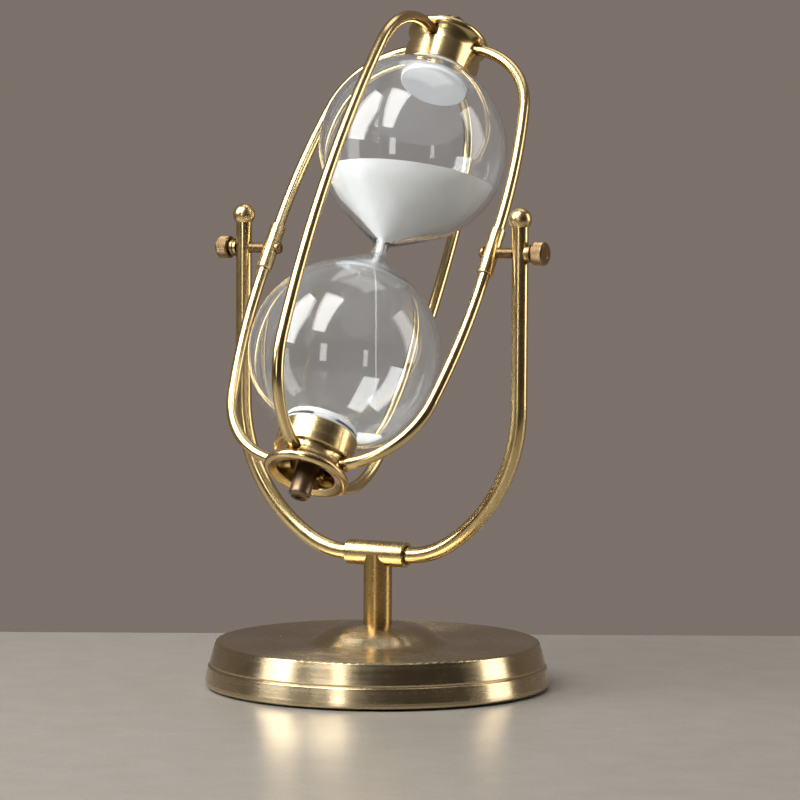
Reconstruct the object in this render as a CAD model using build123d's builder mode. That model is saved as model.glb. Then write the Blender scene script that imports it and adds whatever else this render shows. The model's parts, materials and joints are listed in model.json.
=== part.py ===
from build123d import *
import math
import os

# A brass hourglass that swings in a yoke.  Millimetres, +Z up.
# The origin is the centre of the underside; the swing axis runs along X.

# ---------------------------------------------------------------- driving dimensions
# base
base_radius = 65.0          # widest, low on the skirt
base_height = 17.3          # up to the edge of the top plate
top_radius = 61.4           # top plate
ledge_height = 8.6          # the fine step round the skirt
rim_lift = 0.6              # the metal skirt stays this far off the table
shell_wall = 1.5
flare_radius = 28.6         # where the raised centre starts
flare_height = 6.4
seat_radius = 6.6           # flat top of the raised centre, under the stem
pad_thickness = 1.2
pad_radius = 60.5
weight_radius = 58.5
weight_thickness = 8.5
boss_radius = 12.0
nut_pocket_radius = 9.0
nut_pocket_depth = 6.0

# stem, sleeve and yoke
stem_radius = 5.4
stem_bore = 3.6
sleeve_height = 50.5        # centre line of the sleeve
sleeve_length = 25.0
sleeve_radius = 4.8
plug_half = 4.0             # the block inside the sleeve
arm_radius = 3.1
arm_bore = 2.3
arm_reach = 59.2            # centre line of each upright
arm_rise = 57.0             # from the sleeve to where the upright runs straight
heel_radius = 33.0          # tighter lower part of each arm's bend
arm_top = 175.1
face_cut = 0.35             # flats milled on the uprights at the pivot
finial_radius = 4.3
finial_height = 177.9
tie_radius = 2.0
thread_play = 0.02

# swing axis
pivot_height = 165.3
tilt = 34.6                 # degrees, top leaning back
bolt_radius = 1.5
running = 0.05              # radial running clearance
bolt_head = 2.3
washer_radius = 2.9
washer_thickness = 0.9
nut_radius = 4.3
nut_end = 69.8              # outer face of the thumb nut

# cage of four bent rods
rod_radius = 2.2
rod_level = 93.0            # rods leave the hubs at this distance from the pivot
rod_inner = 7.0
side_radius = 290.0         # long bend of the left and right rods
side_half_width = 47.2      # left and right rods
front_radius = 400.0        # long bend of the front and back rods
front_half_width = 49.4     # front and back rods
shoulder_radius = 34.0      # bend beside each hub
ferrule_half = 9.8
ferrule_radius = 3.0
side_straight = 10.8        # the side rods run straight this far each way, through the ferrule
rod_gap = 3.0               # rod ends stop this far from the pivot

# hubs, measured from the pivot along the glass
cap_radius = 14.7
cap_rim = 80.6
cap_floor = 87.5
hub_start = 90.0
hub_floor = 90.7
hub_end = 98.8
hub_waist = 13.2
hub_radius = 15.9
hub_bore = 10.9
screw_tip = 107.4
screw_head = 4.05
plug_radius = 13.3          # the plug stands in the cap and closes the mouth of the glass
plug_face = 75.8
collar_start = 80.0         # the plug's collar lies between glass and cap
collar_radius = 14.4

# glass
bulb_radius = 36.0
bulb_centre = 46.5          # from the neck, along the glass
glass_wall = 2.0
cone_angle = 51.5           # half angle of the funnel towards the neck
neck_radius = 3.0
neck_bore = 1.1
neck_fillet = 3.0
mouth_radius = 13.4

# sand
sand_gap = 0.12             # between sand and glass
sand_slope = 15.0           # degrees
sand_drop = 12.2            # sand surface below the upper bulb's centre
pool_level = 96.2           # top of the sand that has run through
stream_radius = 0.35
stream_y = -2.0
stream_top = 162.6
stream_foot = 104.6

os.makedirs("parts", exist_ok=True)


def write(part, name):
    part.label = name
    export_step(part, f"parts/{name}.step")


# ---------------------------------------------------------------- frames of the swinging cage
# cage: its Z is the long axis of the glass, its X is the swing axis
cage = Plane(
    origin=(0, 0, pivot_height),
    x_dir=(1, 0, 0),
    z_dir=(0, math.sin(math.radians(tilt)), math.cos(math.radians(tilt))),
)
cage_axis = Axis(cage.origin, cage.z_dir)


def side_plane(angle):
    """Plane through the long axis: local X points out at this angle, local Y along the glass."""
    return Plane(cage.location * Rotation(0, 0, angle) * Rotation(90, 0, 0))


section = side_plane(0)


def across(x, direction):
    """Plane square to the swing axis, this far out on one side, facing outwards."""
    return Plane(origin=(direction * x, 0, pivot_height), x_dir=(0, 1, 0), z_dir=(direction, 0, 0))


def ring(plane, outer, inner, height, mode=Mode.ADD):
    """A disc, or with a bore a washer or tube, that stands on this plane."""
    with BuildSketch(plane) as disc:
        Circle(outer)
        if inner:
            Circle(inner, mode=Mode.SUBTRACT)
    extrude(disc.sketch, amount=height, mode=mode)


def soften(x, y, radius):
    """Round the corner of the current sketch that is nearest this point."""
    fillet(vertices().sort_by_distance((x, y))[0], radius)


def rims(part, radius):
    """The circular edges of this radius."""
    return part.edges().filter_by(GeomType.CIRCLE).filter_by(lambda e: abs(e.radius - radius) < 0.01)


# ---------------------------------------------------------------- base
# Spun shell: skirt with a fine ledge, sloping upper band, dished top, raised flare.
flare_top = base_height + flare_height
with BuildPart() as base_cover:
    with BuildSketch(Plane.XZ):
        with BuildLine():
            skirt = Polyline(
                (0, flare_top),
                (0, rim_lift),
                (base_radius + 0.4, rim_lift),
                (base_radius + 0.3, rim_lift + 2.2),
                (base_radius - 0.7, ledge_height - 0.5),
                (base_radius - 1.5, ledge_height),
                (base_radius - 1.3, ledge_height + 0.7),
                (top_radius, base_height),
                (flare_radius, base_height - 0.5),
            )
            flare = Spline(
                skirt @ 1,
                (flare_radius - 7.5, base_height + 0.5 * flare_height),
                (flare_radius - 14.5, flare_top - 0.4),
                (seat_radius, flare_top),
                tangents=[(-1, 0.02), (-1, 0)],
            )
            Line(flare @ 1, (0, flare_top))
        make_face()
        soften(base_radius + 0.4, rim_lift, 1.2)
        soften(base_radius - 0.7, ledge_height - 0.5, 0.4)
        soften(top_radius, base_height, 0.9)
    revolve(axis=Axis.Z)
    with BuildSketch(Plane.XZ):
        with BuildLine():
            Polyline(
                (0, rim_lift),
                (base_radius - 1.4 - shell_wall, rim_lift),
                (base_radius - 0.2 - shell_wall, rim_lift + 2.4),
                (base_radius - 1.6 - shell_wall, ledge_height),
                (top_radius + 0.3 - shell_wall, base_height - 1.0 - shell_wall),
                (top_radius - 1.0 - shell_wall, base_height - shell_wall),
                (flare_radius - 2.0, base_height - 0.5 - shell_wall),
                (flare_radius - 15.5, flare_top - 0.6 - shell_wall),
                (seat_radius + 1.0, flare_top - shell_wall),
                (0, flare_top - shell_wall),
                close=True,
            )
        make_face()
    revolve(axis=Axis.Z, mode=Mode.SUBTRACT)
    ring(Plane.XY, tie_radius + 0.2, 0, 2 * flare_top, mode=Mode.SUBTRACT)
write(base_cover.part, "base_cover")

# Cast weight: a disc with a stepped boss that carries the shell under the stem.
weight_top = pad_thickness + weight_thickness
boss_top = flare_top - shell_wall
boss_shoulder = boss_top - 3.0
pocket_roof = pad_thickness + nut_pocket_depth
with BuildPart() as base_weight:
    ring(Plane.XY.offset(pad_thickness), weight_radius, 0, weight_thickness)
    chamfer(rims(base_weight, weight_radius), 1.0)
    ring(Plane.XY.offset(weight_top), boss_radius, 0, boss_shoulder - weight_top)
    ring(Plane.XY.offset(boss_shoulder), seat_radius, 0, boss_top - boss_shoulder)
    ring(Plane.XY.offset(pad_thickness), nut_pocket_radius, 0, nut_pocket_depth, mode=Mode.SUBTRACT)
    ring(Plane.XY, tie_radius + 0.3, 0, boss_top, mode=Mode.SUBTRACT)
write(base_weight.part, "base_weight")

with BuildPart() as base_pad:
    ring(Plane.XY, pad_radius, 0, pad_thickness)
write(base_pad.part, "base_pad")

with BuildPart() as base_washer:
    ring(Plane.XY.offset(pocket_roof - 1.0), 6.0, tie_radius + 0.2, 1.0)
write(base_washer.part, "base_washer")

with BuildPart() as base_nut:
    with BuildSketch(Plane.XY.offset(pocket_roof - 4.2)):
        RegularPolygon(3.5, 6, major_radius=False)
        Circle(tie_radius + thread_play, mode=Mode.SUBTRACT)
    extrude(amount=3.2)
write(base_nut.part, "base_nut")

# ---------------------------------------------------------------- stem, sleeve and tie rod
# One long tie rod pulls the sleeve down on the stem and the stem down on the base.
tie_foot = pocket_roof - 4.8
tie_top = sleeve_height + 1.0
with BuildPart() as tie_rod:
    ring(Plane.XY.offset(tie_foot), tie_radius, 0, tie_top - tie_foot)
    chamfer(rims(tie_rod, tie_radius), 0.3)
write(tie_rod.part, "tie_rod")

sleeve_line = Plane(origin=(0, 0, sleeve_height), x_dir=(0, 1, 0), z_dir=(1, 0, 0))
with BuildPart() as stem:
    ring(Plane.XY.offset(flare_top), stem_radius, stem_bore, sleeve_height - flare_top)
    with Locations(sleeve_line.location):
        Cylinder(sleeve_radius, 4 * stem_radius, mode=Mode.SUBTRACT)
write(stem.part, "stem")

with BuildPart() as yoke_sleeve:
    with Locations(sleeve_line.location):
        Cylinder(sleeve_radius, sleeve_length)
    chamfer(rims(yoke_sleeve, sleeve_radius), 0.3)
    with Locations(sleeve_line.location):
        Cylinder(arm_radius + running, sleeve_length, mode=Mode.SUBTRACT)
    for end in (-1, 1):
        with Locations(sleeve_line.offset(end * sleeve_length / 2).location):
            Cylinder(arm_radius + 0.5, 2.0, mode=Mode.SUBTRACT)
    ring(Plane.XY.offset(sleeve_height - sleeve_radius - 1), tie_radius + 0.2, 0, 4.0, mode=Mode.SUBTRACT)
write(yoke_sleeve.part, "yoke_sleeve")

with BuildPart() as sleeve_plug:
    with Locations(sleeve_line.location):
        Cylinder(arm_radius, 2 * plug_half)
    ring(Plane.XY, tie_radius + thread_play, 0, tie_top + 0.5, mode=Mode.SUBTRACT)
write(sleeve_plug.part, "sleeve_plug")

# ---------------------------------------------------------------- yoke arms and their fittings
# Each arm: straight in the sleeve, a tight heel, an easier upper bend, a plumb upright.
bend_start = sleeve_length / 2 + 0.2
bend_run = arm_reach - bend_start
upper_turn = 2 * math.atan((bend_run - heel_radius) / (arm_rise - heel_radius))
heel_turn = math.pi / 2 - upper_turn
upper_radius = heel_radius + (arm_rise - heel_radius) / math.cos(heel_turn)
arm_inner = arm_reach - arm_radius
arm_outer = arm_reach + arm_radius
washer_start = arm_outer - face_cut
nut_start = washer_start + washer_thickness + running
bolt_end = nut_end - 2.0


def yoke_arm(direction):
    with BuildPart() as arm:
        with BuildLine(Plane.XZ):
            base = Line(
                (direction * (plug_half + 0.2), sleeve_height),
                (direction * bend_start, sleeve_height),
            )
            heel = JernArc(base @ 1, base % 1, heel_radius, direction * math.degrees(heel_turn))
            upper = JernArc(heel @ 1, heel % 1, upper_radius, direction * math.degrees(upper_turn))
            Line(upper @ 1, (direction * arm_reach, arm_top))
        with BuildSketch(Plane(origin=base @ 0, z_dir=base % 0)):
            Circle(arm_radius)
            Circle(arm_bore, mode=Mode.SUBTRACT)
        sweep()
        ring(across(0, direction), bolt_radius + running, 0, 2 * arm_reach, mode=Mode.SUBTRACT)
        ring(across(arm_inner - 1, direction), 2.3, 0, 1 + face_cut, mode=Mode.SUBTRACT)
        ring(across(arm_outer - face_cut, direction), 3.1, 0, 1 + face_cut, mode=Mode.SUBTRACT)
    return arm.part


def finial(direction):
    with BuildPart() as ball:
        with Locations((direction * arm_reach, 0, finial_height)):
            Sphere(finial_radius)
        split(bisect_by=Plane.XY.offset(arm_top), keep=Keep.TOP)
        ring(Plane((direction * arm_reach, 0, arm_top - 5)), arm_bore - thread_play, 0, 6.0)
    return ball.part


def pivot_washer(direction):
    with BuildPart() as washer:
        ring(across(washer_start, direction), washer_radius, bolt_radius + running, washer_thickness)
    return washer.part


def pivot_spacer(direction):
    with BuildPart() as spacer:
        start = side_half_width + ferrule_radius - face_cut
        end = arm_inner + face_cut - running
        ring(across(start, direction), 1.95, bolt_radius + thread_play, end - start)
    return spacer.part


def pivot_bolt(direction):
    """Domed head inside the ferrule, plain shank outwards through arm, washer and nut."""
    seat = side_half_width - ferrule_radius + face_cut
    with BuildPart() as bolt:
        ring(across(seat, direction), bolt_radius, 0, bolt_end - seat)
        chamfer(bolt.edges().filter_by(GeomType.CIRCLE).sort_by(Axis.X)[-direction], 0.3)
        ring(across(seat, direction), bolt_head, 0, -1.8)
        crown = bolt.edges().filter_by(GeomType.CIRCLE).sort_by(Axis.X)[(direction - 1) // 2]
        fillet(crown, 1.2)
    return bolt.part


def thumb_nut(direction):
    """Collar, groove and a barrel with a blind bore; the barrel's grip is worked fine."""
    with BuildPart() as nut:
        ring(across(nut_start, direction), 3.3, 0, 1.3)
        ring(across(nut_start + 1.3, direction), 2.6, 0, 0.7)
        ring(across(nut_start + 2.0, direction), nut_radius, 0, nut_end - nut_start - 2.0)
        chamfer(rims(nut, nut_radius), 0.6)
        bore = bolt_end + 0.3 - nut_start
        ring(across(nut_start, direction), bolt_radius + running, 0, bore, mode=Mode.SUBTRACT)
    return nut.part


# ---------------------------------------------------------------- cage rods and ferrules
# half width, long bend and straight waist of each pair of rods
side_bend = (side_half_width, side_radius, side_straight)
front_bend = (front_half_width, front_radius, 0)


def half_rod(end, half_width, long_radius, straight):
    """Half of a rod's centre line, from inside one hub round the shoulder to the waist."""
    reach = long_radius - shoulder_radius
    spread = math.asin((rod_level - shoulder_radius - straight) / reach)
    shoulder_x = half_width - long_radius + reach * math.cos(spread)
    turn = math.degrees(spread)
    Line((rod_inner, end * rod_level), (shoulder_x, end * rod_level))
    shoulder_z = rod_level - shoulder_radius
    CenterArc((shoulder_x, end * shoulder_z), shoulder_radius, end * 90, end * (turn - 90))
    CenterArc((half_width - long_radius, end * straight), long_radius, end * turn, -end * turn)


def rod_end(plane, end):
    """Plane square to the rod where it starts inside the hub."""
    start = plane.from_local_coords((rod_inner, end * rod_level, 0))
    return Plane(origin=start, z_dir=plane.x_dir)


def side_rod(angle, end):
    """One of the four short rods that meet at a ferrule."""
    plane = side_plane(angle)
    with BuildPart() as rod:
        with BuildLine(plane):
            half_rod(end, *side_bend)
            Line((side_half_width, end * side_straight), (side_half_width, end * rod_gap))
        with BuildSketch(rod_end(plane, end)):
            Circle(rod_radius)
        sweep()
    return rod.part


def full_rod(angle):
    """Front or back rod, in one length from hub to hub."""
    plane = side_plane(angle)
    with BuildPart() as rod:
        with BuildLine(plane):
            for end in (1, -1):
                half_rod(end, *front_bend)
        with BuildSketch(rod_end(plane, 1)):
            Circle(rod_radius)
        sweep()
    return rod.part


def ferrule(angle, direction):
    with BuildPart() as tube:
        foot = Plane(cage.location * Pos(direction * side_half_width, 0, -ferrule_half))
        ring(foot, ferrule_radius, 0, 2 * ferrule_half)
        chamfer(rims(tube, ferrule_radius), 0.25)
        ring(foot, rod_radius + running, 0, 2 * ferrule_half, mode=Mode.SUBTRACT)
        inside = side_half_width - ferrule_radius
        outside = side_half_width + ferrule_radius
        ring(across(inside - 1, direction), bolt_radius + thread_play, 0, 8, mode=Mode.SUBTRACT)
        ring(across(inside - 1, direction), bolt_head + 0.15, 0, 1 + face_cut, mode=Mode.SUBTRACT)
        ring(across(outside - face_cut, direction), 2.1, 0, 1 + face_cut, mode=Mode.SUBTRACT)
    return tube.part


for side, direction, angle in (("left", -1, 180), ("right", 1, 0)):
    write(yoke_arm(direction), f"yoke_arm_{side}")
    write(finial(direction), f"finial_{side}")
    write(pivot_washer(direction), f"pivot_washer_{side}")
    write(pivot_spacer(direction), f"pivot_spacer_{side}")
    write(pivot_bolt(direction), f"pivot_bolt_{side}")
    write(thumb_nut(direction), f"thumb_nut_{side}")
    write(ferrule(angle, direction), f"ferrule_{side}")
    write(side_rod(angle, 1), f"cage_rod_{side}_upper")
    write(side_rod(angle, -1), f"cage_rod_{side}_lower")
write(full_rod(-90), "cage_rod_front")
write(full_rod(90), "cage_rod_back")


# ---------------------------------------------------------------- hubs
def hub_ring(end):
    """Open ring that flares from a waist to a rolled lip, with a thin floor and four rod holes."""
    with BuildPart() as hub:
        with BuildSketch(section):
            with BuildLine():
                foot = Line((0, end * hub_start), (hub_waist, end * hub_start))
                neck = ThreePointArc(
                    foot @ 1,
                    (hub_waist + 0.45, end * (hub_start + 3.4)),
                    (hub_radius - 0.5, end * (hub_end - 2.9)),
                )
                lip = ThreePointArc(
                    neck @ 1,
                    (hub_radius, end * (hub_end - 1.5)),
                    (hub_bore + 2.6, end * hub_end),
                )
                Polyline(
                    lip @ 1,
                    (hub_bore, end * (hub_end - 0.8)),
                    (hub_bore, end * hub_floor),
                    (0, end * hub_floor),
                    (0, end * hub_start),
                )
            make_face()
            soften(hub_bore, end * (hub_end - 0.8), 0.8)
        revolve(axis=cage_axis)
        ring(cage.offset(end * (hub_start - 1)), tie_radius + 0.2, 0, end * 5, mode=Mode.SUBTRACT)
        for angle, bend in ((0, side_bend), (180, side_bend), (90, front_bend), (-90, front_bend)):
            plane = side_plane(angle)
            with BuildLine(plane):
                half_rod(end, *bend)
            with BuildSketch(rod_end(plane, end)):
                Circle(rod_radius + thread_play)
            sweep(mode=Mode.SUBTRACT)
            mouth = plane.from_local_coords((hub_waist + 1.4, end * rod_level, 0))
            with BuildSketch(Plane(origin=mouth, z_dir=-plane.x_dir)):
                Circle(rod_radius + 1.2)
            extrude(amount=2.0, taper=25, mode=Mode.SUBTRACT)
    return hub.part


def end_cap(end):
    """Cup that holds the plug; its rim presses the plug's collar on the glass."""
    with BuildPart() as cup:
        ring(cage.offset(end * cap_rim), cap_radius, 0, end * (hub_start - cap_rim))
        chamfer(rims(cup, cap_radius), 0.35)
        hollow = end * (cap_floor - cap_rim)
        ring(cage.offset(end * cap_rim), plug_radius + running, 0, hollow, mode=Mode.SUBTRACT)
        ring(cage, tie_radius + thread_play, 0, end * hub_start, mode=Mode.SUBTRACT)
    return cup.part


def hub_screw(end):
    """Long round-headed screw through the hub's floor into the end cap."""
    with BuildPart() as screw:
        ring(cage.offset(end * (cap_floor + 0.4)), tie_radius, 0, end * 5.5)
        ring(cage.offset(end * hub_floor), screw_head, 0, end * (screw_tip - hub_floor))
        head = rims(screw, screw_head).sort_by(cage_axis)
        fillet(head[-1] if end > 0 else head[0], 1.6)
        ring(cage.offset(end * (screw_tip - 0.5)), 1.2, 0, end * 1.0, mode=Mode.SUBTRACT)
    return screw.part


def bulb_plug(end):
    """White silicone plug that closes the mouth of a bulb."""
    with BuildPart() as plug:
        ring(cage.offset(end * plug_face), plug_radius, 0, end * (cap_floor - plug_face))
        ring(cage.offset(end * collar_start), collar_radius, 0, end * (cap_rim - collar_start))
        face = rims(plug, plug_radius).sort_by(cage_axis)
        fillet(face[0] if end > 0 else face[-1], 0.6)
    return plug.part


for name, end in (("top", 1), ("bottom", -1)):
    write(hub_ring(end), f"hub_ring_{name}")
    write(end_cap(end), f"end_cap_{name}")
    write(hub_screw(end), f"hub_screw_{name}")
    write(bulb_plug(end), f"bulb_plug_{name}")


# ---------------------------------------------------------------- glass and sand
def bulb(radius, neck, bottom=0.0):
    """Half outline of a bulb: neck, funnel tangent to the sphere, sphere."""
    lean = math.radians(cone_angle)
    neck_top = bulb_centre - (radius - neck * math.cos(lean)) / math.sin(lean)
    funnel_r = radius * math.cos(lean)
    funnel_z = bulb_centre - radius * math.sin(lean)
    with BuildLine() as outline:
        Polyline((0, bottom), (neck, bottom), (neck, neck_top), (funnel_r, funnel_z))
        CenterArc((0, bulb_centre), radius, -cone_angle, cone_angle + 90)
        Line((0, bulb_centre + radius), (0, bottom))
    make_face(outline.edges())
    soften(neck, neck_top, neck_fillet)


def glass_bulb(end):
    """One bulb, from the middle of the neck to its open mouth."""
    with BuildPart() as shell:
        with BuildSketch(section):
            bulb(bulb_radius, neck_radius)
        revolve(axis=cage_axis)
        with BuildSketch(section):
            bulb(inner_radius, neck_bore)
        revolve(axis=cage_axis, mode=Mode.SUBTRACT)
        ring(cage.offset(bulb_centre), mouth_radius, 0, bulb_radius, mode=Mode.SUBTRACT)
        if end < 0:
            mirror(about=cage, mode=Mode.REPLACE)
    return shell.part


# The two bulbs are one piece of glass, fused where these halves meet.
inner_radius = bulb_radius - glass_wall
write(glass_bulb(1), "glass_bulb_top")
write(glass_bulb(-1), "glass_bulb_bottom")

# Sand in the upper bulb: the funnel filled up to a sloping surface.
sand_sphere = inner_radius - sand_gap
bulb_middle = cage.from_local_coords((0, 0, bulb_centre))
slope = math.radians(sand_slope)
surface_dir = Vector(0, math.sin(slope), math.cos(slope))
surface = Plane(origin=bulb_middle - surface_dir * sand_drop, z_dir=surface_dir)
with BuildPart() as sand_upper:
    with BuildSketch(section):
        bulb(sand_sphere, neck_bore - sand_gap, bottom=-2.6)
    revolve(axis=cage_axis)
    split(bisect_by=surface, keep=Keep.BOTTOM)
write(sand_upper.part, "sand_upper")

# Sand that has run through lies in the lowest part of the lower bulb.
with BuildPart() as sand_lower:
    with BuildSketch(section):
        bulb(sand_sphere, neck_bore - sand_gap)
    revolve(axis=cage_axis)
    mirror(about=cage, mode=Mode.REPLACE)
    ring(cage.offset(sand_gap - plug_face), plug_radius + sand_gap, 0, -bulb_radius, mode=Mode.SUBTRACT)
    split(bisect_by=Plane.XY.offset(pool_level), keep=Keep.BOTTOM)
write(sand_lower.part, "sand_lower")

with BuildPart() as sand_stream:
    ring(Plane((0, stream_y, stream_foot)), stream_radius, 0, stream_top - stream_foot)
write(sand_stream.part, "sand_stream")
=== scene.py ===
import json
import math
from math import cos, pi, radians, sin, tau

import bmesh
import bpy
from mathutils import Matrix, Vector


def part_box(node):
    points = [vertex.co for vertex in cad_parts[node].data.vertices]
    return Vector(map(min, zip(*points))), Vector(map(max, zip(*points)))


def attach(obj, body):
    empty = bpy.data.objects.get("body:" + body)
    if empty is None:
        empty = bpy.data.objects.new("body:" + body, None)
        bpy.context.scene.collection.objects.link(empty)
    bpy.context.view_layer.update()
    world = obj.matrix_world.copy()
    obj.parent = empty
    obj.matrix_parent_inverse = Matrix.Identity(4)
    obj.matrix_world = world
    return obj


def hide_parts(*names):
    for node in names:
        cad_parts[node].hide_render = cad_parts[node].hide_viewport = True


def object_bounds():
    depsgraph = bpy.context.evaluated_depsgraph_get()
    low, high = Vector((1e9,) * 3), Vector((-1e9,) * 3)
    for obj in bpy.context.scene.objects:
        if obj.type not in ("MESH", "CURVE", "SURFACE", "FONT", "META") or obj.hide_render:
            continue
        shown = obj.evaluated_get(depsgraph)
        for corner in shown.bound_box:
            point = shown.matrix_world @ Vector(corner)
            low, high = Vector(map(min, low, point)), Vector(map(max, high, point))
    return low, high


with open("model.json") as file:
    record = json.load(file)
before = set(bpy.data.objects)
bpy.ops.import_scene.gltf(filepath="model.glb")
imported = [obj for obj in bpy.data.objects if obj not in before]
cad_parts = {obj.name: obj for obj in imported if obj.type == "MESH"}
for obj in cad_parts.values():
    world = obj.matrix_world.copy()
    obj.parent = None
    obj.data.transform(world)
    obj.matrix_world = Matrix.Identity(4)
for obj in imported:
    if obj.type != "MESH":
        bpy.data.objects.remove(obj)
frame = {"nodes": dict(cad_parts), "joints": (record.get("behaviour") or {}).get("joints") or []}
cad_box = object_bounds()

# A swinging brass hourglass.  Metres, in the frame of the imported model.
scene = bpy.context.scene
scene.view_settings.view_transform = "Standard"
mm = 0.001


# ---------------------------------------------------------------- places read from the frame
def middle(node):
    low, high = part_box(node)
    return (low + high) / 2


def width(node):
    low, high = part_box(node)
    return high - low


joints = {joint["name"]: joint for joint in frame["joints"]}
pivot = Vector(joints["cage_swing"]["pos_m"])
up = Vector((0, 0, 1))
swing = Vector((1, 0, 0))
glass_axis = (middle("bulb_plug_top") - middle("bulb_plug_bottom")).normalized()
# cage_place puts a shape drawn round the Z axis, with the neck at the origin, into the tilted cage
cage_place = Matrix.Translation(pivot) @ up.rotation_difference(glass_axis).to_matrix().to_4x4()


# ---------------------------------------------------------------- camera
def place_camera():
    azimuth, distance, height = radians(28.51), 1.400, 0.20987
    pitch, yaw, roll = radians(-4.13), radians(-0.33), radians(0.3)
    data = bpy.data.cameras.new("camera")
    data.sensor_width = 36
    data.lens = 167.1
    data.clip_start = 0.01
    camera = bpy.data.objects.new("camera", data)
    place = Vector((distance * sin(azimuth), -distance * cos(azimuth), height))
    turn = (Matrix.Rotation(azimuth + yaw, 4, "Z") @ Matrix.Rotation(pi / 2 + pitch, 4, "X")
            @ Matrix.Rotation(roll, 4, "Z"))
    camera.matrix_world = Matrix.Translation(place) @ turn
    scene.collection.objects.link(camera)
    scene.camera = camera
    return camera


camera = place_camera()


def from_camera(left, rise, near):
    """A direction given as the camera sees it: to its left, upwards, and towards it."""
    turn = camera.matrix_world.to_3x3()
    return (turn @ Vector((-left, rise, near))).normalized()


# ---------------------------------------------------------------- node helpers
FLOAT, VECTOR, COLOR, INT = "NodeSocketFloat", "NodeSocketVector", "NodeSocketColor", "NodeSocketInt"
GEOMETRY, MATERIAL = "NodeSocketGeometry", "NodeSocketMaterial"


def node(tree, kind, inputs=None, **settings):
    """One node: its settings, then its sockets, each given a value or another node's output."""
    made = tree.nodes.new(kind)
    for name, value in settings.items():
        setattr(made, name, value)
    for socket, value in (inputs or {}).items():
        if isinstance(value, bpy.types.NodeSocket):
            tree.links.new(value, made.inputs[socket])
        else:
            made.inputs[socket].default_value = value
    return made


def math_node(tree, operation, *values, **settings):
    return node(tree, "ShaderNodeMath", dict(enumerate(values)), operation=operation, **settings).outputs[0]


def vector_math(tree, operation, *values):
    made = node(tree, "ShaderNodeVectorMath", dict(enumerate(values)), operation=operation)
    return made.outputs["Value" if operation in ("LENGTH", "DOT_PRODUCT") else "Vector"]


def scaled(tree, vector, factor):
    return node(tree, "ShaderNodeVectorMath", {0: vector, "Scale": factor}, operation="SCALE").outputs[0]


def combine(tree, x, y, z):
    return node(tree, "ShaderNodeCombineXYZ", {0: x, 1: y, 2: z}).outputs[0]


def separate(tree, vector):
    return node(tree, "ShaderNodeSeparateXYZ", {0: vector}).outputs


def noise(tree, vector, scale, detail=2.0, roughness=0.5):
    return node(tree, "ShaderNodeTexNoise", {
        "Vector": vector, "Scale": scale, "Detail": detail, "Roughness": roughness}).outputs[0]


def remap(tree, value, low, high, to_low=0.0, to_high=1.0):
    return node(tree, "ShaderNodeMapRange", {0: value, 1: low, 2: high, 3: to_low, 4: to_high}).outputs[0]


def blend(tree, factor, first, second):
    return node(tree, "ShaderNodeMix", {0: factor, 6: first, 7: second}, data_type="RGBA").outputs[2]


def new_group(name, kind, inputs, outputs):
    """An empty node group with named sockets; gives the group and its input node's outputs."""
    group = bpy.data.node_groups.new(name, kind)
    for label, socket_type, default in inputs:
        socket = group.interface.new_socket(name=label, in_out="INPUT", socket_type=socket_type)
        if default is not None:
            socket.default_value = default
    for label, socket_type in outputs:
        group.interface.new_socket(name=label, in_out="OUTPUT", socket_type=socket_type)
    return group, group.nodes.new("NodeGroupInput").outputs


def finish_group(group, values):
    node(group, "NodeGroupOutput", values)
    return group


def use(tree, group, **inputs):
    """Place a shader node group in a material."""
    made = tree.nodes.new("ShaderNodeGroup")
    made.node_tree = group
    for name, value in inputs.items():
        label = name.replace("_", " ").capitalize()
        if isinstance(value, bpy.types.NodeSocket):
            tree.links.new(value, made.inputs[label])
        else:
            made.inputs[label].default_value = value
    return made.outputs


# ---------------------------------------------------------------- light, floor and surroundings
def soft_panel(name, place, size, power, colour):
    data = bpy.data.lights.new(name, "AREA")
    data.shape = "RECTANGLE"
    data.size, data.size_y = size
    data.energy = power
    data.color = colour
    panel = bpy.data.objects.new(name, data)
    turn = (pivot - place).to_track_quat("-Z", "Y").to_matrix().to_4x4()
    panel.matrix_world = Matrix.Translation(place) @ turn
    panel.visible_camera = False
    scene.collection.objects.link(panel)


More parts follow.
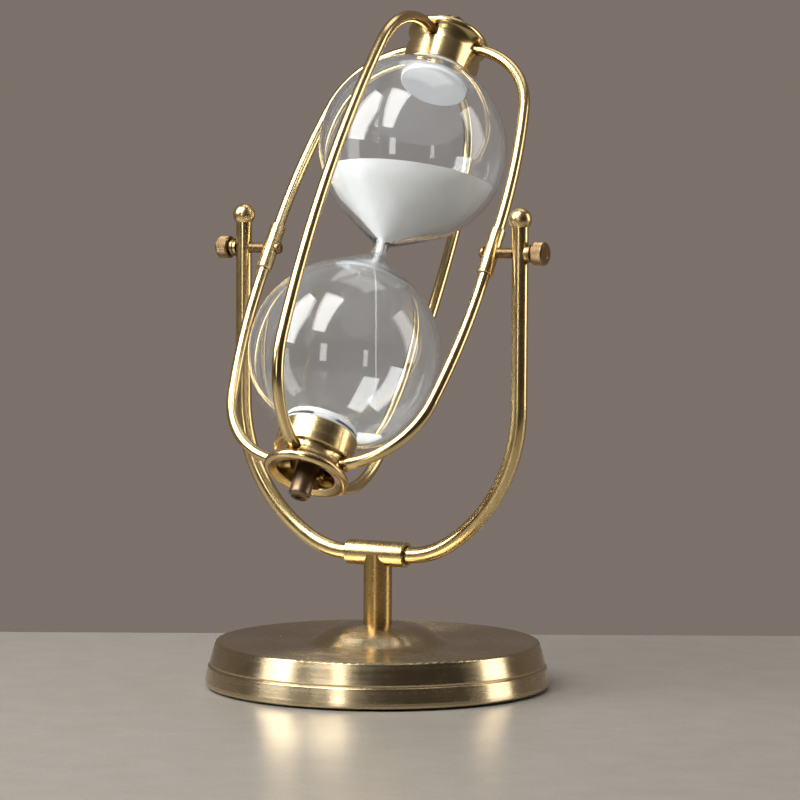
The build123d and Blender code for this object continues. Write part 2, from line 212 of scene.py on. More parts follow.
def studio():
    # a tall window of two panes at the front left, a dim wall on the right, a low light and one above
    daylight, warm_wall = (1.0, 0.98, 0.94), (1.0, 0.93, 0.84)
    soft_panel("window_pane_outer", pivot + from_camera(0.82, 0.60, 0.26), (0.46, 0.92), 12, daylight)
    soft_panel("window_pane_inner", pivot + from_camera(0.40, 0.76, 0.56), (0.42, 0.88), 11, daylight)
    soft_panel("side_wall", pivot + from_camera(-0.97, 0.25, 0.05) * 1.1, (0.40, 0.95), 4.2, warm_wall)
    soft_panel("low_front", pivot + from_camera(0.42, 0.02, 0.90) * 1.2, (0.16, 0.42), 1.1, (1.0, 0.95, 0.88))
    soft_panel("top_light", pivot + Vector((0.0, 0.35, 1.0)), (0.7, 0.5), 1.6, (1.0, 0.98, 0.95))

    world = bpy.data.worlds.new("studio")
    scene.world = world
    world.use_nodes = True
    tree = world.node_tree
    tree.nodes.clear()
    ray = node(tree, "ShaderNodeLightPath").outputs
    seen = math_node(tree, "MAXIMUM", ray["Is Camera Ray"], ray["Is Transmission Ray"])
    direction = node(tree, "ShaderNodeTexCoord").outputs["Generated"]
    # a plain wall behind, a dark room in front and a lighter ceiling
    away = vector_math(tree, "DOT_PRODUCT", direction, from_camera(0, 0, -1))
    room = blend(tree, remap(tree, away, -0.1, 0.55), (0.030, 0.022, 0.016, 1), (0.17, 0.14, 0.12, 1))
    lit = blend(tree, remap(tree, separate(tree, direction)[2], 0.55, 1.0), room, (0.16, 0.15, 0.14, 1))
    colour = blend(tree, seen, lit, (0.200, 0.166, 0.144, 1))
    backdrop = node(tree, "ShaderNodeBackground", {"Color": colour, "Strength": 1.0})
    node(tree, "ShaderNodeOutputWorld", {"Surface": backdrop.outputs[0]})


def lay_floor(material):
    """A pale slab, level with the underside of the base; its back edge lies just behind the base."""
    half_width, front, back, thickness = 0.60, 0.45, 0.145, 0.02
    sideways = from_camera(1, 0, 0)
    sideways.z = 0
    sideways.normalize()
    behind = up.cross(sideways)
    if behind.dot(camera.location) > 0:
        behind = -behind
    form = bmesh.new()
    bmesh.ops.create_cube(form, size=1.0)
    for vertex in form.verts:
        depth = back if vertex.co.y > 0 else -front
        level = cad_box[0][2] - (0 if vertex.co.z > 0 else thickness)
        vertex.co = sideways * (vertex.co.x * 2 * half_width) + behind * depth + up * level
    bmesh.ops.recalc_face_normals(form, faces=form.faces)
    mesh = bpy.data.meshes.new("floor")
    form.to_mesh(mesh)
    floor = bpy.data.objects.new("floor", mesh)
    scene.collection.objects.link(floor)
    mesh.materials.append(material)


# ---------------------------------------------------------------- effects shared by the materials
def turned_grain():
    """Fine rings cut round an axis: a height, a streak tone and the direction across the rings."""
    group, given = new_group("turned_grain", "ShaderNodeTree", [
        ("Position", VECTOR, None), ("Centre", VECTOR, (0, 0, 0)), ("Axis", VECTOR, (0, 0, 1)),
        ("Lines per metre", FLOAT, 4000.0)], [("Height", FLOAT), ("Streak", FLOAT), ("Across", VECTOR)])
    arm = vector_math(group, "SUBTRACT", given["Position"], given["Centre"])
    along = vector_math(group, "DOT_PRODUCT", arm, given["Axis"])
    across = vector_math(group, "SUBTRACT", arm, scaled(group, given["Axis"], along))
    radius = vector_math(group, "LENGTH", across)
    angle_tone = noise(group, scaled(group, vector_math(group, "NORMALIZE", across), 0.9), 2.0, 1.0)
    rings = combine(group, math_node(group, "MULTIPLY", radius, given["Lines per metre"]),
                    math_node(group, "MULTIPLY", along, given["Lines per metre"]),
                    math_node(group, "MULTIPLY", angle_tone, 0.6))
    height = noise(group, rings, 0.35, 3.0, 0.6)
    streak = noise(group, scaled(group, rings, 0.13), 1.0, 2.0)
    return finish_group(group, {
        "Height": height, "Streak": streak, "Across": vector_math(group, "NORMALIZE", across)})


def drawn_grain():
    """Long fine lines left by drawing a rod through a die, with its length along the given axis."""
    group, given = new_group("drawn_grain", "ShaderNodeTree", [
        ("Position", VECTOR, None), ("Axis", VECTOR, (0, 0, 1)), ("Lines per metre", FLOAT, 3000.0)],
        [("Height", FLOAT), ("Streak", FLOAT)])
    along = vector_math(group, "DOT_PRODUCT", given["Position"], given["Axis"])
    stretch = scaled(group, given["Axis"], math_node(group, "MULTIPLY", along, 0.96))
    flat = vector_math(group, "SUBTRACT", given["Position"], stretch)
    lines = scaled(group, flat, given["Lines per metre"])
    return finish_group(group, {"Height": noise(group, lines, 1.0, 3.0, 0.6),
                                "Streak": noise(group, scaled(group, lines, 0.12), 1.0, 2.0)})


def handling_marks():
    """Soft smears of fingers and a few hair scratches: both are masks from 0 to 1."""
    group, given = new_group("handling_marks", "ShaderNodeTree", [
        ("Position", VECTOR, None), ("Size", FLOAT, 90.0)], [("Smear", FLOAT), ("Scratch", FLOAT)])
    cloud = noise(group, given["Position"], given["Size"], 4.0, 0.62)
    bent = vector_math(group, "ADD", given["Position"], scaled(group, combine(
        group, cloud, noise(group, given["Position"], 210.0), cloud), 0.012))
    hair = node(group, "ShaderNodeTexVoronoi", {"Vector": bent, "Scale": 130.0},
                feature="DISTANCE_TO_EDGE").outputs[0]
    rare = remap(group, noise(group, given["Position"], 300.0, 1.0), 0.56, 0.62)
    scratch = math_node(group, "MULTIPLY", remap(group, hair, 0.0, 0.012, 1.0, 0.0), rare)
    return finish_group(group, {"Smear": remap(group, cloud, 0.38, 0.66), "Scratch": scratch})


def patina():
    """Brown tarnish that gathers in clouds and in corners; gives the metal's colour and a mask."""
    group, given = new_group("patina", "ShaderNodeTree", [
        ("Position", VECTOR, None), ("Metal", COLOR, (0.8, 0.6, 0.3, 1)),
        ("Tarnish", COLOR, (0.3, 0.2, 0.1, 1)), ("Corner", FLOAT, 0.0), ("Amount", FLOAT, 0.35)],
        [("Color", COLOR), ("Mask", FLOAT)])
    cloud = remap(group, noise(group, given["Position"], 45.0, 5.0, 0.6), 0.42, 0.72)
    speck = remap(group, noise(group, given["Position"], 2600.0, 1.0), 0.64, 0.80)
    both = math_node(group, "ADD", cloud, math_node(group, "MULTIPLY", speck, 0.4))
    mask = math_node(group, "MULTIPLY", both, given["Amount"])
    full = math_node(group, "MINIMUM", math_node(group, "ADD", mask, given["Corner"]), 1.0)
    return finish_group(group, {"Color": blend(group, full, given["Metal"], given["Tarnish"]), "Mask": full})


def edge_and_corner():
    """Masks of outer edges, where handling brightens metal, and of inner corners, where dirt stays."""
    group, given = new_group("edge_and_corner", "ShaderNodeTree", [("Edge width", FLOAT, 0.0005)], [
        ("Edge", FLOAT), ("Corner", FLOAT)])
    plain = node(group, "ShaderNodeNewGeometry").outputs["Normal"]
    round_off = node(group, "ShaderNodeBevel", {"Radius": given["Edge width"]}, samples=4).outputs[0]
    edge = remap(group, vector_math(group, "DOT_PRODUCT", plain, round_off), 0.90, 0.995, 1.0, 0.0)
    shade = node(group, "ShaderNodeAmbientOcclusion", {"Distance": 0.004},
                 samples=4, only_local=False).outputs["AO"]
    return finish_group(group, {"Edge": edge, "Corner": remap(group, shade, 0.15, 0.75, 0.75, 0.0)})


def dust_film():
    """Thin dust that settles on faces turned up: a mask from 0 to 1."""
    group, given = new_group("dust_film", "ShaderNodeTree", [
        ("Position", VECTOR, None), ("Everywhere", FLOAT, 0.1)], [("Mask", FLOAT)])
    facing = separate(group, node(group, "ShaderNodeNewGeometry").outputs["Normal"])[2]
    settled = math_node(group, "MAXIMUM", remap(group, facing, 0.35, 1.0), given["Everywhere"])
    motes = remap(group, noise(group, given["Position"], 900.0, 3.0, 0.7), 0.40, 0.75, 0.35, 1.0)
    clouds = remap(group, noise(group, given["Position"], 40.0, 3.0), 0.30, 0.70, 0.5, 1.0)
    spotted = math_node(group, "MULTIPLY", settled, motes)
    return finish_group(group, {"Mask": math_node(group, "MULTIPLY", spotted, clouds)})


TURNED, DRAWN, MARKS = turned_grain(), drawn_grain(), handling_marks()
PATINA, WEAR, DUST = patina(), edge_and_corner(), dust_film()


# ---------------------------------------------------------------- materials
def new_material(name):
    material = bpy.data.materials.new(name)
    material.use_nodes = True
    tree = material.node_tree
    tree.nodes.clear()
    return material, tree, node(tree, "ShaderNodeTexCoord").outputs["Object"]


def bump(tree, height, strength, distance):
    return node(tree, "ShaderNodeBump", {
        "Height": height, "Strength": strength, "Distance": distance}).outputs[0]


def worn_metal(name, metal, tarnish, roughness, centre=None, axis=up, turned=True, lines=4000.0,
               tarnished=0.3, brushed=0.0, dusty=0.05):
    """Brass or steel: tool lines, tarnish, bright edges, dark corners, smears and a little dust."""
    material, tree, position = new_material(name)
    if turned:
        grain = use(tree, TURNED, position=position, centre=centre or Vector(), axis=axis,
                    lines_per_metre=lines)
    else:
        grain = use(tree, DRAWN, position=position, axis=axis, lines_per_metre=lines)
    marks = use(tree, MARKS, position=position)
    wear = use(tree, WEAR)
    aged = use(tree, PATINA, position=position, metal=(*metal, 1), tarnish=(*tarnish, 1),
               corner=wear["Corner"], amount=tarnished)
    bright = tuple(min(1.0, value * 1.18) for value in metal)
    colour = blend(tree, math_node(tree, "MULTIPLY", wear["Edge"], 0.6), aged["Color"], (*bright, 1))
    toned = blend(tree, remap(tree, grain["Streak"], 0.35, 0.65, 0.0, 0.14), colour, (*tarnish, 1))
    dust = use(tree, DUST, position=position, everywhere=0.1)
    veiled = blend(tree, math_node(tree, "MULTIPLY", dust["Mask"], dusty), toned, (0.42, 0.39, 0.35, 1))
    rough = math_node(tree, "ADD", remap(tree, grain["Streak"], 0.3, 0.7, roughness * 0.85, roughness * 1.2),
                      math_node(tree, "MULTIPLY", math_node(tree, "ADD", marks["Smear"], aged["Mask"]), 0.05))
    cut = math_node(tree, "MULTIPLY", marks["Scratch"], 0.8)
    tool_lines = math_node(tree, "SUBTRACT", grain["Height"], cut)
    surface = node(tree, "ShaderNodeBsdfPrincipled", {
        "Base Color": veiled, "Metallic": 1.0, "Roughness": rough,
        "Normal": bump(tree, tool_lines, 0.045, 0.0001)})
    if brushed:
        surface.inputs["Anisotropic"].default_value = brushed
        tree.links.new(grain["Across"], surface.inputs["Tangent"])
    node(tree, "ShaderNodeOutputMaterial", {"Surface": surface.outputs[0]})
    return material


def clear_glass():
    """Blown clear glass with a faint film of dust and breath."""
    material, tree, position = new_material("clear_glass")
    ray = node(tree, "ShaderNodeLightPath").outputs
    smear = use(tree, MARKS, position=position, size=35.0)["Smear"]
    waves = bump(tree, noise(tree, position, 38.0, 1.0), 0.06, 0.0015)
    surface = node(tree, "ShaderNodeBsdfPrincipled", {
        "Base Color": (0.955, 0.975, 0.985, 1), "Roughness": remap(tree, smear, 0.0, 1.0, 0.0, 0.02),
        "IOR": 1.47, "Transmission Weight": 1.0, "Normal": waves})
    film = node(tree, "ShaderNodeBsdfDiffuse", {"Color": (0.72, 0.80, 0.90, 1)})
    dust = use(tree, DUST, position=position, everywhere=0.6)["Mask"]
    filmed = node(tree, "ShaderNodeMixShader", {
        0: math_node(tree, "MULTIPLY", dust, 0.09), 1: surface.outputs[0], 2: film.outputs[0]})
    open_way = node(tree, "ShaderNodeBsdfTransparent", {"Color": (0.95, 0.965, 0.975, 1)})
    mix = node(tree, "ShaderNodeMixShader", {
        0: ray["Is Shadow Ray"], 1: filmed.outputs[0], 2: open_way.outputs[0]})
    node(tree, "ShaderNodeOutputMaterial", {"Surface": mix.outputs[0]})
    return material


def speckled(name, light, dark, roughness, grain_size, height, soft=0.0, sheen=0.0):
    """A matt material of two tones with grain: sand, silicone, felt, cast iron or stone."""
    material, tree, position = new_material(name)
    cells = node(tree, "ShaderNodeTexVoronoi", {"Vector": position, "Scale": 1 / grain_size})
    clouds = noise(tree, position, 60.0, 4.0, 0.6)
    grains = remap(tree, noise(tree, position, 0.7 / grain_size, 3.0, 0.7), 0.3, 0.7)
    tone = math_node(tree, "MULTIPLY", math_node(tree, "ADD", remap(tree, clouds, 0.35, 0.65), grains), 0.5)
    dust = use(tree, DUST, position=position, everywhere=0.0)["Mask"]
    settled = math_node(tree, "MULTIPLY", dust, 0.08)
    colour = blend(tree, settled, blend(tree, tone, (*dark, 1), (*light, 1)), (0.6, 0.58, 0.55, 1))
    rough = remap(tree, grains, 0.0, 1.0, roughness * 0.88, min(1.0, roughness * 1.1))
    surface = node(tree, "ShaderNodeBsdfPrincipled", {
        "Base Color": colour, "Roughness": rough, "Subsurface Weight": soft, "Sheen Weight": sheen,
        "Normal": bump(tree, math_node(tree, "ADD", cells.outputs["Distance"], grains), 0.35, height)})
    surface.inputs["Subsurface Radius"].default_value = (0.002, 0.002, 0.002)
    node(tree, "ShaderNodeOutputMaterial", {"Surface": surface.outputs[0]})
    return material


GOLD, BROWN = (0.74, 0.57, 0.29), (0.30, 0.18, 0.07)
studio()
lay_floor(speckled("pale_stone", (0.31, 0.295, 0.27), (0.265, 0.25, 0.225), 0.24, 0.0009, 0.00002))
cast_weight = speckled("cast_weight", (0.055, 0.055, 0.055), (0.025, 0.025, 0.025), 0.6, 0.0010, 0.0002)
felt = speckled("felt", (0.035, 0.034, 0.033), (0.012, 0.012, 0.012), 0.95, 0.0004, 0.0003, sheen=0.3)
white_sand = speckled("white_sand", (0.62, 0.62, 0.62), (0.52, 0.52, 0.52), 0.9, 0.00025, 0.0001)
silicone = speckled("white_silicone", (0.60, 0.61, 0.63), (0.52, 0.53, 0.55), 0.42, 0.0012, 0.00001, soft=0.3)
zinc_steel = worn_metal("zinc_steel", (0.60, 0.61, 0.60), (0.30, 0.28, 0.24), 0.32)
spun_base = worn_metal("spun_base", (0.60, 0.49, 0.32), (0.24, 0.17, 0.09), 0.23, brushed=0.8, lines=5200.0,
                       tarnished=0.06, dusty=0.05)
turned_upright = worn_metal("turned_brass_upright", (0.50, 0.33, 0.12), BROWN, 0.24, tarnished=0.2)
turned_hub = worn_metal("turned_brass_hub", GOLD, BROWN, 0.21, centre=pivot, axis=glass_axis, tarnished=0.12)
turned_pivot = worn_metal("turned_brass_pivot", GOLD, BROWN, 0.24, centre=pivot, axis=swing)
drawn_cage = worn_metal("drawn_brass_cage", GOLD, BROWN, 0.19, axis=glass_axis, turned=False, tarnished=0.07)
drawn_yoke = worn_metal("drawn_brass_yoke", GOLD, BROWN, 0.21, axis=up, turned=False, tarnished=0.10)
aged_hub = worn_metal("aged_bronze_hub", (0.24, 0.175, 0.12), (0.08, 0.055, 0.035), 0.34,
                      centre=pivot, axis=glass_axis)
aged_pivot = worn_metal("aged_bronze_pivot", (0.30, 0.205, 0.11), (0.10, 0.065, 0.035), 0.31,
                        centre=pivot, axis=swing)
glass = clear_glass()

# the first entry whose prefix fits a node's name decides its material
coats = (
    ("base_cover", spun_base), ("base_weight", cast_weight), ("base_pad", felt), ("base_", zinc_steel),
    ("tie_rod", zinc_steel), ("stem", turned_upright), ("yoke_sleeve", turned_pivot),
    ("sleeve_plug", turned_pivot), ("yoke_arm", drawn_yoke), ("finial", turned_pivot),
    ("thumb_nut", aged_pivot), ("pivot_bolt", aged_pivot), ("pivot_", turned_pivot),
    ("cage_rod", drawn_cage), ("ferrule", turned_hub), ("hub_screw", aged_hub), ("hub_ring", turned_hub),
    ("end_cap", turned_hub), ("bulb_plug", silicone), ("glass", glass), ("sand", white_sand),
)
for name, made in frame["nodes"].items():
    made.data.materials.clear()
    made.data.materials.append(next(coat for prefix, coat in coats if name.startswith(prefix)))


# ---------------------------------------------------------------- turned bodies and geometry nodes
def lathe(name, outline, place, steps, closed=False):
    """A shell turned about Z from (radius, height) points; a point on the axis closes a pole."""
    form = bmesh.new()
    rings = []
    for radius, height in outline:
        if radius < 1e-7:
            rings.append([form.verts.new((0, 0, height))])
        else:
            angles = [tau * k / steps for k in range(steps)]
            rings.append([form.verts.new((radius * cos(a), radius * sin(a), height)) for a in angles])
    pairs = list(zip(rings, rings[1:])) + ([(rings[-1], rings[0])] if closed else [])
    for low, high in pairs:
        for k in range(steps):
            corners = [low[k % len(low)], low[(k + 1) % len(low)],
                       high[(k + 1) % len(high)], high[k % len(high)]]
            face = list(dict.fromkeys(corners))
            if len(face) > 2:
                form.faces.new(face)
    bmesh.ops.recalc_face_normals(form, faces=form.faces)
    form.transform(place)
    mesh = bpy.data.meshes.new(name)
    form.to_mesh(mesh)
    made = bpy.data.objects.new(name, mesh)
    scene.collection.objects.link(made)
    return made


def new_tree(name, inputs):
    """A geometry node tree that takes a mesh and named values; gives the tree and those values."""
    sockets = [("Mesh", GEOMETRY, None), *inputs, ("Finish", MATERIAL, None)]
    return new_group(name, "GeometryNodeTree", sockets, [("Geometry", GEOMETRY)])


def close_tree(tree, given, geometry):
    """End a tree as every piece needs it: real mesh, then its material."""
    real = node(tree, "GeometryNodeRealizeInstances", {0: geometry}).outputs[0]
    done = node(tree, "GeometryNodeSetMaterial", {"Geometry": real, "Material": given["Finish"]}).outputs[0]
    return finish_group(tree, {"Geometry": done})


def grow(made, tree, body, smooth_below=radians(32), **values):
    """Run a tree on a piece, keep the result as plain mesh and let it ride a body."""
    modifier = made.modifiers.new(tree.name, "NODES")
    modifier.node_group = tree
    for item in tree.interface.items_tree:
        label = item.name.lower().replace(" ", "_")
        if item.in_out == "INPUT" and label in values:
            modifier[item.identifier] = values[label]
    solved = made.evaluated_get(bpy.context.evaluated_depsgraph_get())
    mesh = bpy.data.meshes.new_from_object(solved)
    made.modifiers.remove(modifier)
    made.data = mesh
    mesh.shade_smooth()
    mesh.set_sharp_from_angle(angle=smooth_below)
    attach(made, body)
    return made


def offset_tree(name, inputs, shape):
    """A tree that moves the mesh's points; shape(tree, given, position) gives each point's offset."""
    tree, given = new_tree(name, inputs)
    position = node(tree, "GeometryNodeInputPosition").outputs[0]
    moved = node(tree, "GeometryNodeSetPosition", {
        "Geometry": given["Mesh"], "Offset": shape(tree, given, position)})
    return close_tree(tree, given, moved.outputs[0])


def knurl_shape(tree, given, position):
    """Two crossing sets of grooves round the swing axis, cut between two distances along it."""
    arm = vector_math(tree, "SUBTRACT", position, given["Centre"])
    x, y, z = separate(tree, arm)[:3]
    turn = math_node(tree, "MULTIPLY", math_node(tree, "ARCTAN2", y, z), given["Ridges"])
    rise = math_node(tree, "MULTIPLY", x, given["Lead"])
    groove = [math_node(tree, "ABSOLUTE", math_node(tree, "SINE", math_node(tree, way, turn, rise)))
              for way in ("ADD", "SUBTRACT")]
    depth = remap(tree, math_node(tree, "MINIMUM", *groove), 0.0, 0.55, 1.0, 0.0)
    across = combine(tree, 0.0, y, z)
    radius = vector_math(tree, "LENGTH", across)
    far = math_node(tree, "ABSOLUTE", x)
    inside = [math_node(tree, "GREATER_THAN", far, given["From"]),
              math_node(tree, "LESS_THAN", far, given["To"]),
              math_node(tree, "GREATER_THAN", radius, given["Barrel"])]
    mask = math_node(tree, "MULTIPLY", math_node(tree, "MULTIPLY", inside[0], inside[1]), inside[2])
    amount = math_node(tree, "MULTIPLY", math_node(tree, "MULTIPLY", depth, mask), given["Depth"])
    return scaled(tree, vector_math(tree, "NORMALIZE", across), math_node(tree, "MULTIPLY", amount, -1.0))


def thread_shape(tree, given, position):
    """A fine screw thread round the swing axis on everything outside a given radius."""
    arm = vector_math(tree, "SUBTRACT", position, given["Centre"])
    x, y, z = separate(tree, arm)[:3]
    across = combine(tree, 0.0, y, z)
    outer = math_node(tree, "GREATER_THAN", vector_math(tree, "LENGTH", across), given["Core"])
    turns = math_node(tree, "MULTIPLY", math_node(tree, "DIVIDE", x, given["Pitch"]), tau)
    wave = math_node(tree, "SINE", math_node(tree, "ADD", turns, math_node(tree, "ARCTAN2", y, z)))
    groove = math_node(tree, "MULTIPLY", remap(tree, wave, -0.6, 0.6, 1.0, 0.0), outer)
    depth = math_node(tree, "MULTIPLY", groove, given["Depth"])
    return scaled(tree, vector_math(tree, "NORMALIZE", across), math_node(tree, "MULTIPLY", depth, -1.0))


def blown_shape(tree, given, position):
    """Slow swells left by blowing, strongest at the neck, always away from the long axis."""
    arm = vector_math(tree, "SUBTRACT", position, given["Centre"])
    along = vector_math(tree, "DOT_PRODUCT", arm, given["Axis"])
    on_axis = scaled(tree, given["Axis"], along)
    across = vector_math(tree, "NORMALIZE", vector_math(tree, "SUBTRACT", arm, on_axis))
    neck = remap(tree, math_node(tree, "ABSOLUTE", along), 0.004, 0.022, 1.0, 0.25)
    body = remap(tree, math_node(tree, "ABSOLUTE", along), 0.060, 0.076, 1.0, 0.0)
    swell = noise(tree, vector_math(tree, "ADD", scaled(tree, across, 0.008), on_axis), given["Waves"], 1.0)
    shaped = math_node(tree, "MULTIPLY", swell, math_node(tree, "MULTIPLY", neck, body))
    amount = math_node(tree, "MULTIPLY", shaped, given["Depth"])
    return scaled(tree, across, amount)


def grains_on_top():
    """Loose grains scattered over the part of a mesh that faces a direction."""
    tree, given = new_tree("sand_grains", [
        ("Facing", VECTOR, up[:]), ("Per area", FLOAT, 1.0e6), ("Grain size", FLOAT, 0.0002),
        ("Seed", INT, 3)])
    normal = node(tree, "GeometryNodeInputNormal").outputs[0]
    top = math_node(tree, "GREATER_THAN", vector_math(tree, "DOT_PRODUCT", normal, given["Facing"]), 0.95)
    spread = node(tree, "GeometryNodeDistributePointsOnFaces", {
        "Mesh": given["Mesh"], "Selection": top, "Density": given["Per area"], "Seed": given["Seed"]})
    grain = node(tree, "GeometryNodeMeshIcoSphere", {"Radius": given["Grain size"], "Subdivisions": 1})
    size = node(tree, "FunctionNodeRandomValue", {2: 0.55, 3: 1.25, "Seed": given["Seed"]}, data_type="FLOAT")
    turn = node(tree, "FunctionNodeRandomValue", {
        0: (0, 0, 0), 1: (tau, tau, tau), "Seed": given["Seed"]}, data_type="FLOAT_VECTOR")
    placed = node(tree, "GeometryNodeInstanceOnPoints", {
        "Points": spread.outputs["Points"], "Instance": grain.outputs[0], "Rotation": turn.outputs[0],
        "Scale": size.outputs[1]})
    return close_tree(tree, given, placed.outputs[0])


def falling_grains():
    """Grains strung out along a falling line, closer together at its top."""
    tree, given = new_tree("falling_grains", [
        ("Top", VECTOR, None), ("Foot", VECTOR, None), ("Count", INT, 300), ("Spread", FLOAT, 0.0003),
        ("Grain size", FLOAT, 0.00018), ("Seed", INT, 5)])
    line = node(tree, "GeometryNodeMeshLine", {
        "Count": given["Count"], "Start Location": given["Top"]}).outputs[0]
    order = math_node(tree, "DIVIDE", node(tree, "GeometryNodeInputIndex").outputs[0], given["Count"])
    fallen = math_node(tree, "POWER", order, 1.6)
    path = scaled(tree, vector_math(tree, "SUBTRACT", given["Foot"], given["Top"]), fallen)
    stray = node(tree, "FunctionNodeRandomValue", {
        0: (-1, -1, -1), 1: (1, 1, 1), "Seed": given["Seed"]}, data_type="FLOAT_VECTOR")
    drift = scaled(tree, stray.outputs[0], given["Spread"])
    place = vector_math(tree, "ADD", vector_math(tree, "ADD", given["Top"], path), drift)
    moved = node(tree, "GeometryNodeSetPosition", {"Geometry": line, "Position": place}).outputs[0]
    grain = node(tree, "GeometryNodeMeshIcoSphere", {
        "Radius": given["Grain size"], "Subdivisions": 1}).outputs[0]
    placed = node(tree, "GeometryNodeInstanceOnPoints", {"Points": moved, "Instance": grain}).outputs[0]
    return close_tree(tree, given, placed)


# ---------------------------------------------------------------- thumb nuts and spacers
KNURL = offset_tree("knurl", [
    ("Centre", VECTOR, None), ("Ridges", FLOAT, 20.0), ("Lead", FLOAT, 2600.0), ("Depth", FLOAT, 0.00018),
    ("From", FLOAT, 0.0), ("To", FLOAT, 0.0), ("Barrel", FLOAT, 0.0)], knurl_shape)
THREAD = offset_tree("thread", [
    ("Centre", VECTOR, None), ("Pitch", FLOAT, 0.0007), ("Depth", FLOAT, 0.0002),
    ("Core", FLOAT, 0.0016)], thread_shape)


def along_swing(direction):
    """Places a shape drawn up the Z axis on the swing axis, pointing out on one side."""
    return Matrix.Translation(pivot) @ up.rotation_difference(swing * direction).to_matrix().to_4x4()


def thumb_nut(side, direction):
    name = f"thumb_nut_{side}"
    low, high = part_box(name)
    start, end = sorted(abs(x - pivot.x) for x in (low.x, high.x))
    barrel = width(name).z / 2
    shoulder = start + 2.0 * mm
    bore, depth = 1.55 * mm, end - 1.7 * mm
    collar, collar_edge, groove = 3.3 * mm, 3.1 * mm, 2.6 * mm
    bevel, rings = 0.5 * mm, 44
    grip = [shoulder + bevel + k * (end - shoulder - 2 * bevel) / rings for k in range(rings + 1)]
    outline = [(0, depth), (bore, depth), (bore, start), (collar_edge, start), (collar, start + 0.2 * mm),
               (collar, start + 1.1 * mm), (collar_edge, start + 1.3 * mm), (groove, start + 1.35 * mm),
               (groove, shoulder - 0.05 * mm), (barrel - bevel, shoulder),
               (barrel - 0.1 * mm, shoulder + 0.35 * mm)]
    outline += [(barrel, z) for z in grip]
    outline += [(barrel - 0.1 * mm, end - 0.35 * mm), (barrel - bevel, end), (barrel * 0.45, end),
                (barrel * 0.40, end - 0.15 * mm), (0, end - 0.15 * mm)]
    nut = lathe(f"knurled_{name}", outline, along_swing(direction), 200)
    limits = {"from": grip[1], "to": grip[-2], "barrel": barrel * 0.97}
    grow(nut, KNURL, name, centre=pivot, **limits, finish=aged_pivot)
    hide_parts(name)


def spacer(side, direction):
    name = f"pivot_spacer_{side}"
    low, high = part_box(name)
    start, end = sorted(abs(x - pivot.x) for x in (low.x, high.x))
    bore, outer, rings = 1.52 * mm, width(name).z / 2, 72
    outline = [(outer, start + k * (end - start) / rings) for k in range(rings + 1)]
    outline += [(bore, end), (bore, start)]
    made = lathe(f"threaded_{name}", outline, along_swing(direction), 48, closed=True)
    grow(made, THREAD, "cage", smooth_below=radians(60), centre=pivot, finish=aged_pivot)
    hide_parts(name)


for side, direction in (("left", -1), ("right", 1)):
    thumb_nut(side, direction)
    spacer(side, direction)


# ---------------------------------------------------------------- glass and sand
def bulb_line(radius, neck, fillet, mouth):
    """Outline of half the glass from the middle of the neck: fillet, funnel, sphere, mouth."""
    centre, lean = 46.5 * mm, radians(51.5)
    neck_steps, fillet_steps, funnel_steps, sphere_steps = 8, 10, 14, 64
    foot = Vector((radius * cos(lean), centre - radius * sin(lean)))
    reach = (foot.x - neck) / sin(lean)
    start = foot - Vector((sin(lean), cos(lean))) * reach
    turn = fillet * math.tan(lean / 2)
    line = [(neck, k * (start.y - turn) / neck_steps) for k in range(neck_steps)]
    heart = Vector((neck + fillet, start.y - turn))
    angles = [lean * k / fillet_steps for k in range(fillet_steps + 1)]
    line += [(heart.x - fillet * cos(a), heart.y + fillet * sin(a)) for a in angles]
    after = Vector(line[-1])
    line += [tuple(after.lerp(foot, k / funnel_steps)) for k in range(1, funnel_steps)]
    last = math.acos(mouth / radius)
    angles = [-lean + (last + lean) * k / sphere_steps for k in range(sphere_steps + 1)]
    line += [(radius * cos(a), centre + radius * sin(a)) for a in angles]
    return line


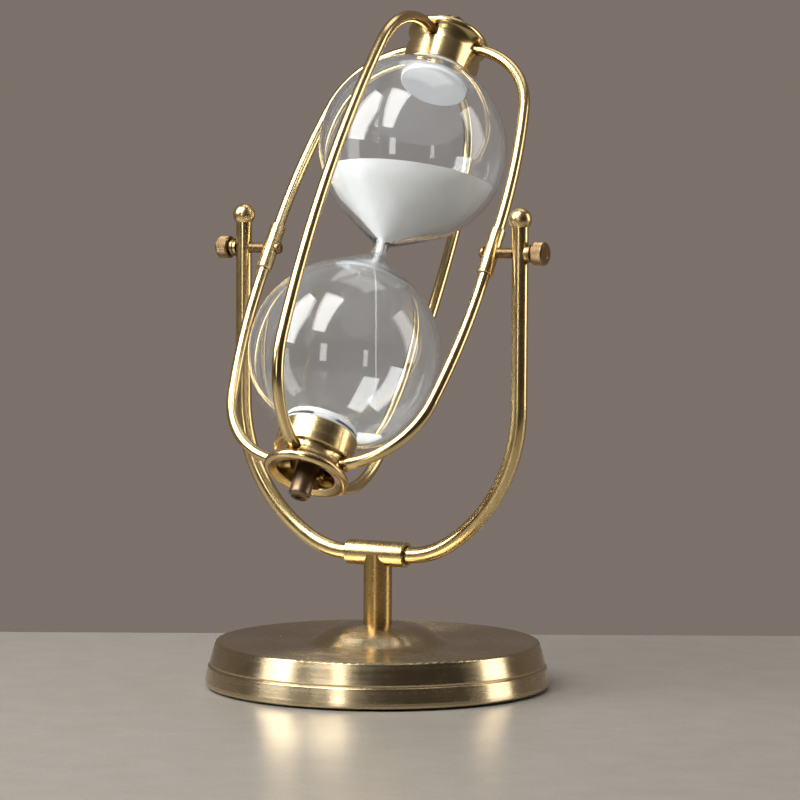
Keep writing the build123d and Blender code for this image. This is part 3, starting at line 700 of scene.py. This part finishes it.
def blown_glass():
    """Both bulbs and the neck as the one piece of glass they are."""
    outer_radius = width("glass_bulb_top").x / 2
    mouth, wall, fillet = 13.4 * mm, 2.0 * mm, 3.0 * mm
    neck, neck_bore = 3.0 * mm, 1.1 * mm
    outer = bulb_line(outer_radius, neck, fillet, mouth)
    inner = bulb_line(outer_radius - wall, neck_bore, fillet, mouth)
    outline = [(r, -z) for r, z in reversed(outer[1:])] + outer
    outline += inner[::-1] + [(r, -z) for r, z in inner[1:]]
    made = lathe("blown_glass", outline, cage_place, 192, closed=True)
    tree = offset_tree("blown", [("Centre", VECTOR, None), ("Axis", VECTOR, None), ("Waves", FLOAT, 90.0),
                                 ("Depth", FLOAT, 0.00022)], blown_shape)
    grow(made, tree, "cage", smooth_below=radians(50), centre=pivot, axis=glass_axis, finish=glass)
    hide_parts("glass_bulb_top", "glass_bulb_bottom")


def loose_sand():
    """Grains on both sand surfaces, about as many on each, and the falling ones."""
    tree, grains = grains_on_top(), 3800
    for name, facing, seed in (("sand_upper", heap_normal(), 3), ("sand_lower", up, 8)):
        source = frame["nodes"][name]
        made = bpy.data.objects.new(f"grains_{name}", source.data.copy())
        scene.collection.objects.link(made)
        area = sum(face.area for face in source.data.polygons if face.normal.dot(facing) > 0.95)
        grow(made, tree, "cage", facing=facing, per_area=grains / area, seed=seed, finish=white_sand)
    low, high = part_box("sand_stream")
    line = bpy.data.objects.new("sand_trickle", bpy.data.meshes.new("sand_trickle"))
    scene.collection.objects.link(line)
    spot = middle("sand_stream")
    grow(line, falling_grains(), "cage", top=(spot.x, spot.y, high.z),
         foot=(spot.x, spot.y, low.z), finish=white_sand)
    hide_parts("sand_stream")


def heap_normal():
    """The direction the sand surface in the upper bulb faces: that of its largest flat face."""
    faces = frame["nodes"]["sand_upper"].data.polygons
    tilts = {}
    for face in faces:
        key = tuple(round(value, 2) for value in face.normal)
        tilts[key] = tilts.get(key, 0) + face.area
    return Vector(max(tilts, key=tilts.get)).normalized()


blown_glass()
loose_sand()
